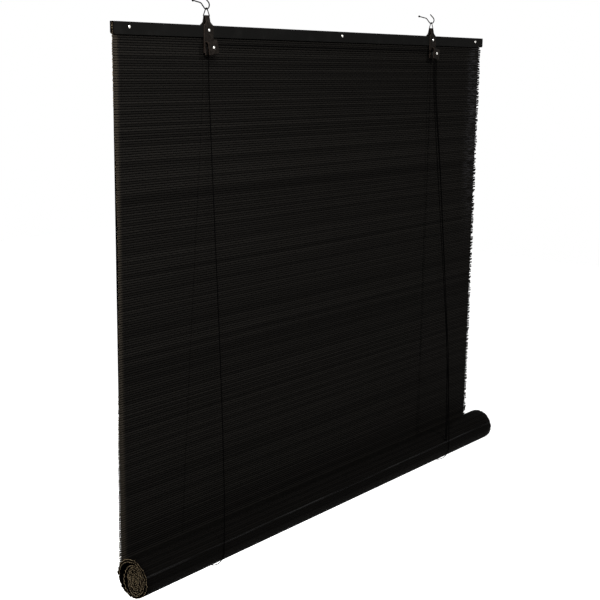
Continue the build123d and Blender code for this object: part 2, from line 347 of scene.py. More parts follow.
def length_setting(name, description, default):
    return bpy.props.FloatProperty(
        name=name, description=description, default=default, subtype="DISTANCE", unit="LENGTH"
    )


def angle_setting(name, description, degrees):
    return bpy.props.FloatProperty(
        name=name,
        description=description,
        default=math.radians(degrees),
        subtype="ANGLE",
        unit="ROTATION",
    )


def share_setting(name, description, default):
    return bpy.props.FloatProperty(
        name=name, description=description, default=default, min=0, max=1, subtype="FACTOR"
    )


def count_setting(name, description, default):
    return bpy.props.IntProperty(name=name, description=description, default=default, min=0)


def colour_setting(name, description, *default):
    return bpy.props.FloatVectorProperty(
        name=name, description=description, default=default, subtype="COLOR", min=0, max=1
    )


class ReedSettings(bpy.types.PropertyGroup):
    pitch: length_setting("Pitch", "From one reed to the next", 0.0042)
    height: length_setting("Height", "Height of one reed", 0.0037)
    thickness: length_setting("Thickness", "Thickness of one reed", 0.0018)
    fringe: length_setting("Fringe", "Depth of the loose ends past the last yarn", 0.016)
    left_spread: length_setting("Left spread", "How far the left ends bend up or down", 0.0004)
    right_spread: length_setting("Right spread", "How far the right ends bend up or down", 0.0018)
    left_uneven: length_setting(
        "Left unevenness", "How much shorter a reed may be on the left", 0.0015
    )
    right_uneven: length_setting(
        "Right unevenness", "How much shorter a reed may be on the right", 0.0075
    )
    drift: length_setting("Drift", "How far the left edge wanders down the mat", 0.005)
    yarn_spacing: length_setting("Yarn spacing", "From one warp yarn to the next", 0.0076)
    yarn_radius: length_setting("Yarn radius", "Radius of one warp yarn", 0.00022)
    ground: length_setting("Ground", "Thickness of the close weave between the reeds", 0.0005)
    seed: count_setting("Seed", "Fixes the uneven reeds", 7)


class RollSettings(bpy.types.PropertyGroup):
    turns: count_setting("Turns", "Turns of mat in the roll", 9)
    turn_pitch: length_setting("Turn pitch", "From one turn to the next", 0.00384)
    slack: length_setting("Slack", "How far the tight core lies off the loose outer turns", 0.0055)
    squeeze: share_setting("Squeeze", "How much narrower than tall the tight core is", 0.26)
    left_overhang: length_setting(
        "Left overhang", "How much further the wound reeds reach on the left", 0.006
    )
    closeness: share_setting("Closeness", "Share of the pitch that a wound reed fills", 0.98)
    seed: count_setting("Seed", "Fixes the uneven reeds", 19)


class LeatherSettings(bpy.types.PropertyGroup):
    thickness: length_setting("Thickness", "Thickness of the hide", 0.0018)
    strap_width: length_setting("Strap width", "Width of a strap", 0.025)
    neck_width: length_setting("Neck width", "Width of a strap in its ring", 0.011)
    tab_size: length_setting("Tab size", "Width and height of a pulley tab", 0.025)
    left_turn: angle_setting("Left tab turn", "Turn of the left tab on its rivet", -8)
    right_turn: angle_setting("Right tab turn", "Turn of the right tab on its rivet", 10)


class CordSettings(bpy.types.PropertyGroup):
    diameter: length_setting("Diameter", "Diameter of the lift cord", 0.002)
    lay: length_setting("Lay", "Length of one turn of the strands", 0.007)


class LookSettings(bpy.types.PropertyGroup):
    reed_dark: colour_setting("Reed, dark", "Darkest stain of the reeds", 0.0024, 0.0022, 0.0020)
    reed_warm: colour_setting("Reed, warm", "Palest stain of the reeds", 0.0094, 0.0086, 0.0076)
    cut_pale: colour_setting("Cut ends", "Bare wood at the reeds' cut ends", 0.56, 0.43, 0.26)
    lacquer: colour_setting("Lacquer", "Head rail's lacquer", 0.0036, 0.0035, 0.0033)
    wire: colour_setting("Wire", "Hooks' and rings' lacquer", 0.0034, 0.003, 0.0028)
    nickel: colour_setting("Nickel", "Plate of the rivets", 0.72, 0.70, 0.66)
    leather: colour_setting("Leather", "Face of the straps and tabs", 0.0058, 0.0051, 0.0047)
    leather_edge: colour_setting("Leather edge", "Raw cut edge of the hide", 0.026, 0.021, 0.018)
    cord: colour_setting("Cord", "Lit fibres of the cords", 0.0014, 0.0013, 0.0013)


class StageSettings(bpy.types.PropertyGroup):
    lens: bpy.props.FloatProperty(
        name="Lens",
        description="Focal length on a 36 mm sensor",
        default=70.97,
        subtype="DISTANCE_CAMERA",
        unit="CAMERA",
    )
    floor_drop: length_setting("Floor", "Height of the floor", -2.05)
    key_power: bpy.props.FloatProperty(
        name="Key light",
        description="Power of the key light",
        default=104.0,
        subtype="POWER",
        unit="POWER",
    )
    fill: share_setting("Fill", "Strength of the even light from all round", 0.03)


class BlindSettings(bpy.types.PropertyGroup):
    reed: bpy.props.PointerProperty(type=ReedSettings)
    roll: bpy.props.PointerProperty(type=RollSettings)
    leather: bpy.props.PointerProperty(type=LeatherSettings)
    cord: bpy.props.PointerProperty(type=CordSettings)
    look: bpy.props.PointerProperty(type=LookSettings)
    stage: bpy.props.PointerProperty(type=StageSettings)


# Finishes


def shader_group(name, inputs, *outputs):
    """A shader node group that puts out a Color and the numbers named."""
    tree = bpy.data.node_groups.new(name, "ShaderNodeTree")
    kinds = {"Color": "Color", **{label: "Float" for label in outputs}}
    return tree, add_sockets(tree, inputs, kinds)


def mix_colour(share, first, second):
    """A colour between two others."""
    return out(share.tree, "ShaderNodeMix", {0: share, 6: first, 7: second}, 2, data_type="RGBA")


def object_place(tree):
    """Object coordinates."""
    return out(tree, "ShaderNodeTexCoord", key="Object")


def grain_noise(tree, stretch, scale, detail):
    """Noise on Object coordinates, stretched by a scale for each axis."""
    sockets = {"Vector": object_place(tree), "Scale": stretch}
    return noise(out(tree, "ShaderNodeMapping", sockets), scale, detail, 0.55)


def make_reed_grain():
    """Streaks along a reed, its own tone, dull marks where yarn crosses it, a paler left end, and
    painted highlights: glints near the upper right and a line along the roll's front.
    """
    tree, given = shader_group(
        "Reed grain",
        {
            "Tone": 0.5,
            "Phase": 0.0,
            "Dark": (0.006, 0.005, 0.005, 1),
            "Warm": (0.014, 0.010, 0.008, 1),
            "Yarn Pitch": 0.0152,
            "Scuff": 0.0,
            "Worn End": 0.0,
            "Rubbed Line": 0.0,
        },
        "Roughness",
        "Height",
    )
    streaks = grain_noise(tree, (2.5, 260.0, 260.0), 4.0, 5.0)
    patches = grain_noise(tree, (1.2, 8.0, 22.0), 3.0, 2.0)
    glints = grain_noise(tree, (34.0, 1.0, 240.0), 1.0, 2.0)
    along, depth, level = parts(object_place(tree))
    turns = along / given["Yarn Pitch"] + given["Phase"]
    crossing = ramp(abs(calc("SINE", turns * math.pi)), 0.972, 0.995)
    share = (given["Tone"] * 0.5 + streaks * 0.6) * (patches * 0.24 + 0.84)
    upper_right = ramp(along, 0.525, 0.565) * ramp(level, -0.56, -0.26)
    roll_front = ramp(abs(level + 0.98), 0.0016, 0.0006) * ramp(depth, -0.05, -0.06)
    colour = mix_colour(share, given["Dark"], given["Warm"])
    for mask, tint in (
        (crossing * 0.4, (0.004, 0.004, 0.0045, 1)),
        # Painted highlight: pale grey glints near the upper right edge, fading downwards
        (upper_right * given["Scuff"] * ramp(glints, 0.4, 0.66), (0.034, 0.033, 0.035, 1)),
        # A paler band at the reeds' left end
        (ramp(along, -0.584, -0.593) * given["Worn End"], (0.025, 0.021, 0.016, 1)),
        # Painted highlight: a pale line along the front of the roll
        (
            roll_front * given["Rubbed Line"] * ramp(streaks, 0.38, 0.6),
            (0.028, 0.028, 0.028, 1),
        ),
    ):
        colour = mix_colour(mask, colour, tint)
    roughness = crossing * 0.25 + (streaks * 0.3 + 0.36)
    height = crossing * 0.6 + streaks * 0.5
    node(tree, "NodeGroupOutput", {0: colour, 1: roughness, 2: height})


def make_cut_wood():
    """Pale cut wood with darker pith specks, for reed ends and the laths."""
    tree, given = shader_group(
        "Cut wood",
        {"Pale": (0.24, 0.15, 0.07, 1), "Deep": (0.032, 0.022, 0.013, 1), "Tone": 0.5},
        "Roughness",
    )
    specks = grain_noise(tree, (30.0, 1.0, 1.0), 900.0, 3.0)
    share = calc("MINIMUM", given["Tone"] * 0.45 + ramp(specks, 0.38, 0.68), 1.0)
    colour = mix_colour(share, given["Pale"], given["Deep"])
    node(tree, "NodeGroupOutput", {0: colour, 1: specks * 0.25 + 0.6})


def make_handled():
    """Slow changes of shade and gloss that handling leaves on lacquer, plate and plastic."""
    tree, given = shader_group(
        "Handled surface",
        {
            "Colour": (0.01, 0.01, 0.01, 1),
            "Rubbed": (0.03, 0.03, 0.03, 1),
            "Rub": 0.3,
            "Gloss": 0.4,
            "Fineness": 60.0,
        },
        "Roughness",
        "Height",
    )
    place = object_place(tree)
    slow = noise(place, given["Fineness"], 5.0)
    fine = noise(place, given["Fineness"] * 18.0, 2.0)
    rub = ramp(slow, 0.45, 0.75) * given["Rub"]
    colour = mix_colour(rub, given["Colour"], given["Rubbed"])
    node(tree, "NodeGroupOutput", {0: colour, 1: slow * 0.2 + given["Gloss"], 2: fine})


def make_leather_grain():
    """Pebbled hide, the creases between the pebbles darker as painted shade."""
    tree, given = shader_group(
        "Leather grain",
        {"Hide": (0.02, 0.014, 0.011, 1), "Crease": (0.006, 0.005, 0.004, 1), "Pebble": 900.0},
        "Roughness",
        "Height",
    )
    sockets = {"Vector": object_place(tree), "Scale": given["Pebble"]}
    cells = out(tree, "ShaderNodeTexVoronoi", sockets, feature="DISTANCE_TO_EDGE")
    pebble = ramp(cells, 0.02, 0.28)
    paler_share = ramp(grain_noise(tree, (1.0, 1.0, 1.0), 160.0, 3.0), 0.4, 0.75) * 0.5
    colour = mix_colour(pebble, given["Crease"], given["Hide"])
    colour = mix_colour(paler_share, colour, (0.019, 0.0155, 0.0135, 1))
    node(tree, "NodeGroupOutput", {0: colour, 1: pebble * -0.18 + 0.62, 2: pebble})


def make_fibre():
    """Fine fibres that follow the twist of a cord, on the cord's own UV map."""
    tree, given = shader_group(
        "Twisted fibre",
        {"Deep": (0.0012, 0.0011, 0.0011, 1), "Light": (0.018, 0.016, 0.015, 1)},
        "Height",
    )
    place = out(tree, "ShaderNodeUVMap", uv_map="twist")
    mapped = out(tree, "ShaderNodeMapping", {"Vector": place, "Scale": (14.0, 60.0, 1.0)})
    fibres = noise(mapped, 3.0, 4.0)
    colour = mix_colour(ramp(fibres, 0.3, 0.75), given["Deep"], given["Light"])
    node(tree, "NodeGroupOutput", {0: colour, 1: fibres})


def new_material(name):
    """The tree of a new material that has only its Principled shader."""
    material = bpy.data.materials.new(name)
    material.use_nodes = True
    return material.node_tree


def fill_shader(tree, colour, roughness, specular=0.5, metallic=0.0):
    """Fills the Principled shader's sockets; returns the shader."""
    shader = tree.nodes["Principled BSDF"]
    put(tree, shader.inputs["Base Color"], colour)
    put(tree, shader.inputs["Roughness"], roughness)
    put(tree, shader.inputs["Specular IOR Level"], specular)
    put(tree, shader.inputs["Metallic"], metallic)
    return shader


def place_group(tree, group, values):
    """The outputs of a node group placed in a material with its own values."""
    made = node(tree, "ShaderNodeGroup", values, node_tree=bpy.data.node_groups[group])
    return {socket.name: Value(tree, socket) for socket in made.outputs}


def bump(shader, height, strength, distance):
    """Feeds a height into the shader's normal."""
    sockets = {"Height": height, "Strength": strength, "Distance": distance}
    put(height.tree, shader.inputs["Normal"], out(height.tree, "ShaderNodeBump", sockets))


def attribute(tree, name):
    """A number stored on the mesh."""
    return out(tree, "ShaderNodeAttribute", key="Fac", attribute_name=name)


def opaque(colour):
    """A colour with full alpha."""
    return (*colour, 1.0)


def finish_reed(look, name, shade, glint_highlight, paler_share, rubbed_and_highlight):
    """Reeds at the given share of the full stain, a share below one being painted shade, with a pale
    left end and painted highlights.
    """
    tree = new_material(name)
    tone = attribute(tree, "reed_tone")
    grain = place_group(
        tree,
        "Reed grain",
        {
            "Tone": tone,
            "Phase": attribute(tree, "reed_phase"),
            "Dark": opaque(part * shade for part in look.reed_dark),
            "Warm": opaque(part * shade for part in look.reed_warm),
            "Scuff": glint_highlight,
            "Worn End": paler_share,
            "Rubbed Line": rubbed_and_highlight,
        },
    )
    ends = place_group(tree, "Cut wood", {"Tone": tone, "Pale": opaque(look.cut_pale)})
    colour = mix_colour(attribute(tree, "cut_end"), grain["Color"], ends["Color"])
    shader = fill_shader(tree, colour, grain["Roughness"], 0.002)
    bump(shader, grain["Height"], 0.5, 0.0003)


def finish_leather(look):
    """Hide with a paler raw edge."""
    tree = new_material("brown_hide")
    grain = place_group(tree, "Leather grain", {"Hide": opaque(look.leather)})
    patches = ramp(grain_noise(tree, (1.0, 1.0, 1.0), 700.0, 3.0), 0.35, 0.7)
    raw = mix_colour(patches, opaque(look.leather_edge), (0.02, 0.013, 0.009, 1))
    colour = mix_colour(attribute(tree, "cut_edge"), grain["Color"], raw)
    shader = fill_shader(tree, colour, grain["Roughness"], 0.006)
    bump(shader, grain["Height"], 0.35, 0.0003)


def finish_cord(look):
    """Matt twisted fibre."""
    tree = new_material("cord_black")
    fibre = place_group(tree, "Twisted fibre", {"Light": opaque(look.cord)})
    bump(fill_shader(tree, fibre["Color"], 0.8, 0.003), fibre["Height"], 0.4, 0.0002)


def finish_lath():
    """Bare wood of the laths."""
    tree = new_material("lath_pine")
    wood = place_group(tree, "Cut wood", {"Tone": 0.2})
    fill_shader(tree, wood["Color"], wood["Roughness"])


def finish_handled(name, colour, rubbed_and_highlight, rub, gloss, fineness, metallic, specular, relief):
    """Lacquer, plate, plastic or yarn with the marks of handling."""
    tree = new_material(name)
    handled = place_group(
        tree,
        "Handled surface",
        {
            "Colour": opaque(colour),
            "Rubbed": opaque(rubbed_and_highlight),
            "Rub": rub,
            "Gloss": gloss,
            "Fineness": fineness,
        },
    )
    shader = fill_shader(tree, handled["Color"], handled["Roughness"], specular, metallic)
    bump(shader, handled["Height"], relief, 0.0002)


def paint_nodes(material, *nodes):
    """Gives CAD nodes that stay a better material."""
    for name in nodes:
        slots = frame["nodes"][name].data.materials
        slots.clear()
        slots.append(bpy.data.materials[material])


class BLIND_OT_finishes(bpy.types.Operator):
    """Make the finishes and give them to the rail, laths, wire and pulleys"""

    bl_idname = "blind.finishes"
    bl_label = "Finishes"

    def execute(self, context):
        look = context.scene.blind.look
        for build in (make_reed_grain, make_cut_wood, make_handled, make_leather_grain, make_fibre):
            build()
        # Name, share of the stain (below one is painted shade), painted glints, pale left end,
        # painted highlight line
        finish_reed(look, "reed_dark", 1.0, 0.55, 0.75, 0.0)
        # The roll's reeds: a darker copy of the mat's stain as painted shade, with a painted
        # highlight line along the roll's front
        finish_reed(look, "wound_reed_dark", 0.46, 0.0, 0.0, 0.8)
        finish_leather(look)
        finish_cord(look)
        finish_lath()
        yarn, yarn_rubbed = (0.0032, 0.0029, 0.003), (0.009, 0.008, 0.008)
        # The ground's near-black colour is painted shade in the gaps between the reeds
        ground, ground_rubbed = (0.0007, 0.0007, 0.0007), (0.0016, 0.0015, 0.0015)
        nickel_dull, lacquer_rubbed = (0.42, 0.4, 0.36), (0.0065, 0.0064, 0.006)
        wire_rubbed = (0.012, 0.01, 0.009)
        plastic, plastic_rubbed = (0.014, 0.014, 0.014), (0.03, 0.03, 0.03)
        # Name, colour, rubbed colour, rub, gloss, fineness, metallic, specular level, relief
        for finish in (
            ("yarn_dark", yarn, yarn_rubbed, 0.3, 0.6, 900.0, 0.0, 0.002, 0.1),
            ("ground_dark", ground, ground_rubbed, 0.3, 0.7, 900.0, 0.0, 0.001, 0.1),
            ("nickel_plate", look.nickel, nickel_dull, 0.5, 0.1, 500.0, 1.0, 0.5, 0.05),
            ("rail_lacquer", look.lacquer, lacquer_rubbed, 0.5, 0.34, 26.0, 0.0, 0.006, 0.12),
            ("wire_lacquer", look.wire, wire_rubbed, 0.5, 0.35, 420.0, 0.0, 0.008, 0.1),
            ("pulley_black", plastic, plastic_rubbed, 0.4, 0.42, 300.0, 0.0, 0.06, 0.15),
        ):
            finish_handled(*finish)
        paint_nodes("rail_lacquer", "head_rail")
        paint_nodes("lath_pine", "front_lath", "back_lath")
        for side in STRAP_X:
            paint_nodes("wire_lacquer", f"{side}_hook", f"{side}_ring")
            paint_nodes("pulley_black", f"{side}_pulley")
        return {"FINISHED"}


# Reeds


def new_tree(name, values):
    """A geometry tree with an input for each value, its default, and one for a material."""
    tree = bpy.data.node_groups.new(name, "GeometryNodeTree")
    tree.is_modifier = True
    inputs = {**values, "Material": "Material"}
    return tree, add_sockets(tree, inputs, {"Geometry": "Geometry"})


def close_tree(geometry, material):
    """Ends a tree in Realize Instances and Set Material."""
    tree = geometry.tree
    real = out(tree, "GeometryNodeRealizeInstances", {"Geometry": geometry})
    done = out(tree, "GeometryNodeSetMaterial", {"Geometry": real, "Material": material})
    node(tree, "NodeGroupOutput", {0: done})
    return tree


def grow(name, tree, material, values):
    """Runs a geometry tree once and keeps the result as a plain mesh object."""
    values = {**values, "Material": bpy.data.materials[material]}
    holder = add_object(name + "_holder", bpy.data.meshes.new(name + "_holder"))
    modifier = holder.modifiers.new("grow", "NODES")
    modifier.node_group = tree
    for item in tree.interface.items_tree:
        if item.in_out == "INPUT" and item.name in values:
            modifier[item.identifier] = values[item.name]
    bpy.context.view_layer.update()
    depsgraph = bpy.context.evaluated_depsgraph_get()
    mesh = bpy.data.meshes.new_from_object(holder.evaluated_get(depsgraph))
    mesh.name = name
    bpy.data.objects.remove(holder)
    if not mesh.polygons:
        raise RuntimeError(f"{name} came out empty")
    return add_object(name, mesh)


def random_value(low, high, seed):
    """A random number for each element, fixed by its seed."""
    sockets = {2: low, 3: high, 8: seed}
    return out(seed.tree, "FunctionNodeRandomValue", sockets, 1, data_type="FLOAT")


def keep_number(geometry, name, value, domain="INSTANCE"):
    """Stores a number on the geometry under a name."""
    sockets = {"Geometry": geometry, "Name": name, "Value": value}
    kind = "GeometryNodeStoreNamedAttribute"
    return out(geometry.tree, kind, sockets, data_type="FLOAT", domain=domain)


def kept_number(tree, name):
    """Reads a number that was stored on the geometry."""
    return out(tree, "GeometryNodeInputNamedAttribute", {"Name": name}, data_type="FLOAT")


def row_of_points(tree, count, start, offset):
    """Points in a row, each at the same offset from the last."""
    sockets = {"Count": count, "Start Location": start, "Offset": offset}
    return out(tree, "GeometryNodeMeshLine", sockets, mode="OFFSET")


def move(geometry, **where):
    """Moves the points of a geometry to a Position or by an Offset."""
    return out(geometry.tree, "GeometryNodeSetPosition", {"Geometry": geometry, **where})


def set_out(points, instance, **turn_and_size):
    """The same piece at each of the points, with its Rotation and Scale."""
    sockets = {"Points": points, "Instance": instance, **turn_and_size}
    return out(points.tree, "GeometryNodeInstanceOnPoints", sockets)


def place_of(tree):
    """The position of each element."""
    return out(tree, "GeometryNodeInputPosition")


def index_of(tree):
    """The number of each element."""
    return out(tree, "GeometryNodeInputIndex")


def by_side(right, left_value, right_value):
    """One of two numbers, for the left or the right half of the mat."""
    sockets = {0: right, 2: left_value, 3: right_value}
    return out(right.tree, "ShaderNodeMix", sockets, data_type="FLOAT")


def one_reed(given, rings):
    """A single reed along X, with more rings near its ends and its cut ends marked."""
    tree = given["Width"].tree
    sockets = {
        "Vertices": 8, "Side Segments": rings, "Fill Segments": 1, "Radius": 1.0, "Depth": 2.0
    }
    bar = out(tree, "GeometryNodeMeshCylinder", sockets, "Mesh", fill_type="NGON")
    across, up, along = parts(place_of(tree))
    crowding = 2.2
    reach = 1.0 - calc("POWER", 1.0 - abs(along), crowding)
    place = xyz(
        tree,
        calc("SIGN", along) * reach * (given["Width"] * 0.5),
        across * (given["Thickness"] * 0.5),
        up * (given["Height"] * 0.5),
    )
    bar = move(bar, Position=place)
    facing = parts(out(tree, "GeometryNodeInputNormal"))[0]
    end_facing = 0.8
    is_end = calc("GREATER_THAN", abs(facing), end_facing)
    bar = keep_number(bar, "cut_end", is_end, "FACE")
    sockets = {"Geometry": bar, "Shade Smooth": 1.0 - is_end}
    return out(tree, "GeometryNodeSetShadeSmooth", sockets)


def mark_reeds(row, tone):
    """Keeps each reed's shade, and whether yarn goes over or under it."""
    row = keep_number(row, "reed_tone", tone)
    return keep_number(row, "reed_phase", index_of(row.tree) % 2.0 * 0.5)


def reed_row_tree(values):
    """Reeds in a flat row, uneven at both ends, with loose fringes."""
    tree, given = new_tree("Reed row", values)
    seed = given["Seed"]
    start = xyz(tree, z=given["Pitch"] * 0.5 + given["Foot"])
    points = row_of_points(tree, given["Reeds"], start, xyz(tree, z=given["Pitch"]))
    size = xyz(tree, 1.0, random_value(0.86, 1.0, seed), random_value(0.94, 1.01, seed + 1.0))
    row = set_out(points, one_reed(given, 22), Scale=size)
    row = mark_reeds(row, random_value(0.0, 1.0, seed + 2.0))
    for offset, (name, lowest) in enumerate(END_DRAWS.items(), 3):
        row = keep_number(row, name, random_value(lowest, 1.0, seed + float(offset)))
    row = out(tree, "GeometryNodeRealizeInstances", {"Geometry": row})

    x, _, z = parts(place_of(tree))
    half = given["Width"] * 0.5
    loose = ramp(abs(x), half - given["Fringe"], half)
    right = calc("GREATER_THAN", x, 0.0)
    bend, short = (
        by_side(right, kept_number(tree, kind + "_left"), kept_number(tree, kind + "_right"))
        for kind in ("bend", "short")
    )
    spread = by_side(right, given["Left Spread"], given["Right Spread"])
    uneven = by_side(right, given["Left Uneven"], given["Right Uneven"])
    # Slow bends along a reed, its own for each, and slow waves down both edges
    reed_waves, reed_spread, edge_waves, wave_share = 9.0, 60.0, 7.0, 0.7
    wander_y, wander_z = 0.0004, 0.0007
    bends = xyz(tree, x * reed_waves, kept_number(tree, "reed_tone") * reed_spread)
    wander = noise(bends, 1.0, 1.0) - 0.5
    edge_wave = noise(xyz(tree, right * edge_waves, 0.0, z * edge_waves), 1.0, 2.0)
    draw_in = edge_wave * (uneven * wave_share) + short * short * short * uneven
    # The left edge swings out and back, from the foot up
    rise = (z - given["Foot"]) / (given["Reeds"] * given["Pitch"])
    swing_back = 0.7
    drift = ramp(rise, 0.15, 0.6) - ramp(rise, 0.6, 0.97) - swing_back
    drift = ramp(rise, 0.0, 0.5) * swing_back + drift
    drift = drift * ((1.0 - right) * given["Drift"])
    shift = xyz(
        tree,
        loose * drift + loose * calc("SIGN", x) * -draw_in,
        wander * wander_y + loose * bend * (spread * 0.5),
        wander * wander_z + loose * (bend * (bend * bend)) * spread,
    )
    row = move(row, Offset=shift)
    for name in END_DRAWS:
        row = out(tree, "GeometryNodeRemoveAttribute", {"Geometry": row, "Name": name})
    return close_tree(row, given["Material"])


def reed_roll_tree(values):
    """Reeds wound on a spiral whose tight core lies off the loose outer turns."""
    tree, given = new_tree("Reed roll", values)
    outer = given["Outer Radius"]
    spiral = out(
        tree,
        "GeometryNodeCurveSpiral",
        {
            "Resolution": 72,
            "Rotations": given["Turns"],
            "Start Radius": outer - given["Turns"] * given["Turn Pitch"],
            "End Radius": outer,
            "Height": 0.0,
        },
    )
    flat_y, flat_z, _ = parts(place_of(tree))
    radius = length_of(place_of(tree))
    share = out(tree, "GeometryNodeSplineParameter", key="Factor")
    # By share of the spiral: the tight core, the slack turns, the last turns out to the full radius
    dent, sag = 0.08, 0.0008
    grown = ramp(share, 0.84, 0.93) * given["Turn Pitch"] + radius
    scale = calc("MINIMUM", grown, outer) / radius
    tight = ramp(share, 0.56, 0.70, 1.0, 0.0)
    loose = ramp(share, 0.70, 0.80, 1.0, 0.0) * calc("MAXIMUM", flat_y, 0.0)
    narrow = scale * (tight * -given["Squeeze"] + 1.0)
    wound_y = loose * -dent + (flat_y * narrow + tight * -given["Slack"])
    wound_z = flat_z * scale + tight * -sag
    sockets = {0: xyz(tree, 0.0, wound_y, wound_z), 1: given["Axis"]}
    wound = out(tree, "ShaderNodeVectorMath", sockets, operation="ADD")
    sockets = {"Curve": move(spiral, Position=wound), "Length": given["Pitch"]}
    stations = node(tree, "GeometryNodeCurveToPoints", sockets, mode="LENGTH").outputs
    sockets = {"Vector": Value(tree, stations["Tangent"])}
    turned = out(tree, "FunctionNodeAlignRotationToVector", sockets, axis="Z", pivot_axis="X")
    seed = given["Seed"]
    size = xyz(
        tree,
        random_value(0.9955, 1.0, seed),
        random_value(0.9, 1.05, seed + 1.0),
        random_value(1.03, 1.07, seed + 2.0),
    )
    points = Value(tree, stations["Points"])
    row = set_out(points, one_reed(given, 10), Rotation=turned, Scale=size)
    row = mark_reeds(row, random_value(0.0, 1.0, seed + 3.0))
    return close_tree(row, given["Material"])


def yarn_tree(values):
    """Warp yarns that weave over and under the reeds, each against its neighbours."""
    tree, given = new_tree("Warp yarns", values)
    step = given["Pitch"] * 0.5
    start = xyz(tree, z=step * 0.5 + given["Foot"])
    line = row_of_points(tree, given["Reeds"] * 2.0, start, xyz(tree, z=step))
    index = index_of(tree)
    side = calc("FLOOR", index / 2.0) % 2.0 * 2.0 - 1.0
    woven = move(line, Offset=xyz(tree, y=side * given["Reach"]))
    curve = out(tree, "GeometryNodeMeshToCurve", {0: woven})
    sockets = {0: 3, 4: given["Radius"]}
    ring = out(tree, "GeometryNodeCurvePrimitiveCircle", sockets, mode="RADIUS")
    sockets = {"Curve": curve, "Profile Curve": ring, "Fill Caps": True}
    strand = out(tree, "GeometryNodeCurveToMesh", sockets)
    start, offset = xyz(tree, given["Start"]), xyz(tree, given["Spacing"])
    places = row_of_points(tree, given["Yarns"], start, offset)
    yarns = set_out(places, strand, Rotation=xyz(tree, z=index % 2.0 * math.pi))
    return close_tree(yarns, given["Material"])


def slab_mesh(name, edges, thickness, foot, head, strips=24):
    """A thin upright slab, cut into even strips so that it can shorten."""
    (left, right), half = edges, thickness / 2
    corners = [(left, -half), (right, -half), (right, half), (left, half)]
    levels = [foot + (head - foot) * row / strips for row in range(strips + 1)]
    vertices = [(x, y, z) for z in levels for x, y in corners]
    return new_mesh(name, vertices, band(len(corners), len(levels)))


class BLIND_OT_reed_mat(bpy.types.Operator):
    """Lay the hanging reeds and weave their yarns"""

    bl_idname = "blind.reed_mat"
    bl_label = "Reed mat"

    def execute(self, context):
        reed = context.scene.blind.reed
        # The mat meets the roll three reeds above the foot of its CAD node
        foot = MAT_LOW.z + 3 * reed.pitch
        count = round((MAT_HIGH.z - foot) / reed.pitch)
        width = MAT_HIGH.x - MAT_LOW.x
        woven = {"Reeds": count, "Pitch": reed.pitch, "Foot": foot}
        values = {
            **woven,
            "Width": width,
            "Height": reed.height,
            "Thickness": reed.thickness,
            "Fringe": reed.fringe,
            "Left Spread": reed.left_spread,
            "Right Spread": reed.right_spread,
            "Left Uneven": reed.left_uneven,
            "Right Uneven": reed.right_uneven,
            "Drift": reed.drift,
            "Seed": reed.seed,
        }
        mat = grow("reed_mat_reeds", reed_row_tree(values), "reed_dark", values)
        settle(mat, "blind", "reed_wood", "reed_mat")
        shorten(mat, RAIL_FOOT, foot)

        # An even number of yarns in each third, so that they go on in turn
        yarns = 2 * round((width - 2 * reed.fringe) / reed.yarn_spacing / 6)
        values = {
            **woven,
            "Yarns": yarns,
            "Start": -reed.yarn_spacing * (3 * yarns - 1) / 2,
            "Spacing": reed.yarn_spacing,
            "Reach": reed.thickness / 2 + reed.yarn_radius * 0.5,
            "Radius": reed.yarn_radius,
        }
        weave = yarn_tree(values)
        for name in ("left", "middle", "right"):
            piece = grow(f"warp_yarns_{name}", weave, "yarn_dark", values)
            settle(piece, "blind", "cord_fabric")
            shorten(piece, RAIL_FOOT, foot)
            values["Start"] += yarns * reed.yarn_spacing

        # The ground ends within the reeds' uneven ends
        left_inset, right_inset = 0.0015, 0.7 * reed.fringe
        edges = (MAT_LOW.x + left_inset, MAT_HIGH.x - right_inset)
        head = foot + count * reed.pitch
        # The ground stands for the close weave behind the reeds; its near-black colour is painted
        # shade in the gaps between them
        slab = slab_mesh("weave_ground", edges, reed.ground, foot, head)
        ground = settle(add_piece(slab, "ground_dark"), "blind", "cord_fabric")
        shorten(ground, RAIL_FOOT, foot)
        return {"FINISHED"}


class BLIND_OT_mat_roll(bpy.types.Operator):
    """Wind the lower reeds into the roll"""

    bl_idname = "blind.mat_roll"
    bl_label = "Mat roll"

    def execute(self, context):
        reed, roll = context.scene.blind.reed, context.scene.blind.roll
        values = {
            "Turns": float(roll.turns),
            "Turn Pitch": roll.turn_pitch,
            "Outer Radius": -ROLL_AXIS.y,
            "Slack": roll.slack,
            "Squeeze": roll.squeeze,
            "Axis": ROLL_AXIS - Vector((roll.left_overhang / 2, 0.0, 0.0)),
            "Pitch": reed.pitch,
            "Width": ROLL_HIGH.x - ROLL_LOW.x + roll.left_overhang,
            "Height": reed.pitch * roll.closeness,
            "Thickness": reed.thickness,
            "Seed": roll.seed,
        }
        wound = grow("mat_roll_reeds", reed_roll_tree(values), "wound_reed_dark", values)
        settle(wound, "roll", "reed_wood", "mat_roll")
        return {"FINISHED"}


# Leather


def strip_mesh(name, line, half_widths, thickness, centre_x=0.0):
    """A leather strip along a line of (y, z) points, its raw edges marked."""
    half = thickness / 2
    ease = thickness * 0.22
    shares = (-1.0, -0.6, -0.2, 0.2, 0.6, 1.0)
    vertices = []
    for (y, z), (along_y, along_z), w in zip(line, directions(line), half_widths):
        ring = [(-w, -half + ease)]
        ring += [(share * (w - ease), -half) for share in shares]
        ring += [(w, -half + ease), (w, half - ease)]
        ring += [(share * (w - ease), half) for share in reversed(shares)]
        ring += [(-w, half - ease)]
        vertices += [(centre_x + x, y - n * along_z, z + n * along_y) for x, n in ring]
    sides = 2 * len(shares) + 4
    faces = band(sides, len(line))
    mesh = new_mesh(name, vertices, faces)
    raw = {0, len(shares), len(shares) + 1, len(shares) + 2, sides - 2, sides - 1}
    cut = [float(face % sides in raw) for face in range(len(faces) - 2)] + [1.0, 1.0]
    mesh.attributes.new("cut_edge", "FLOAT", "FACE").data.foreach_set("value", cut)
    face_outwards(mesh)
    smooth(mesh, but_last=2)
    return mesh


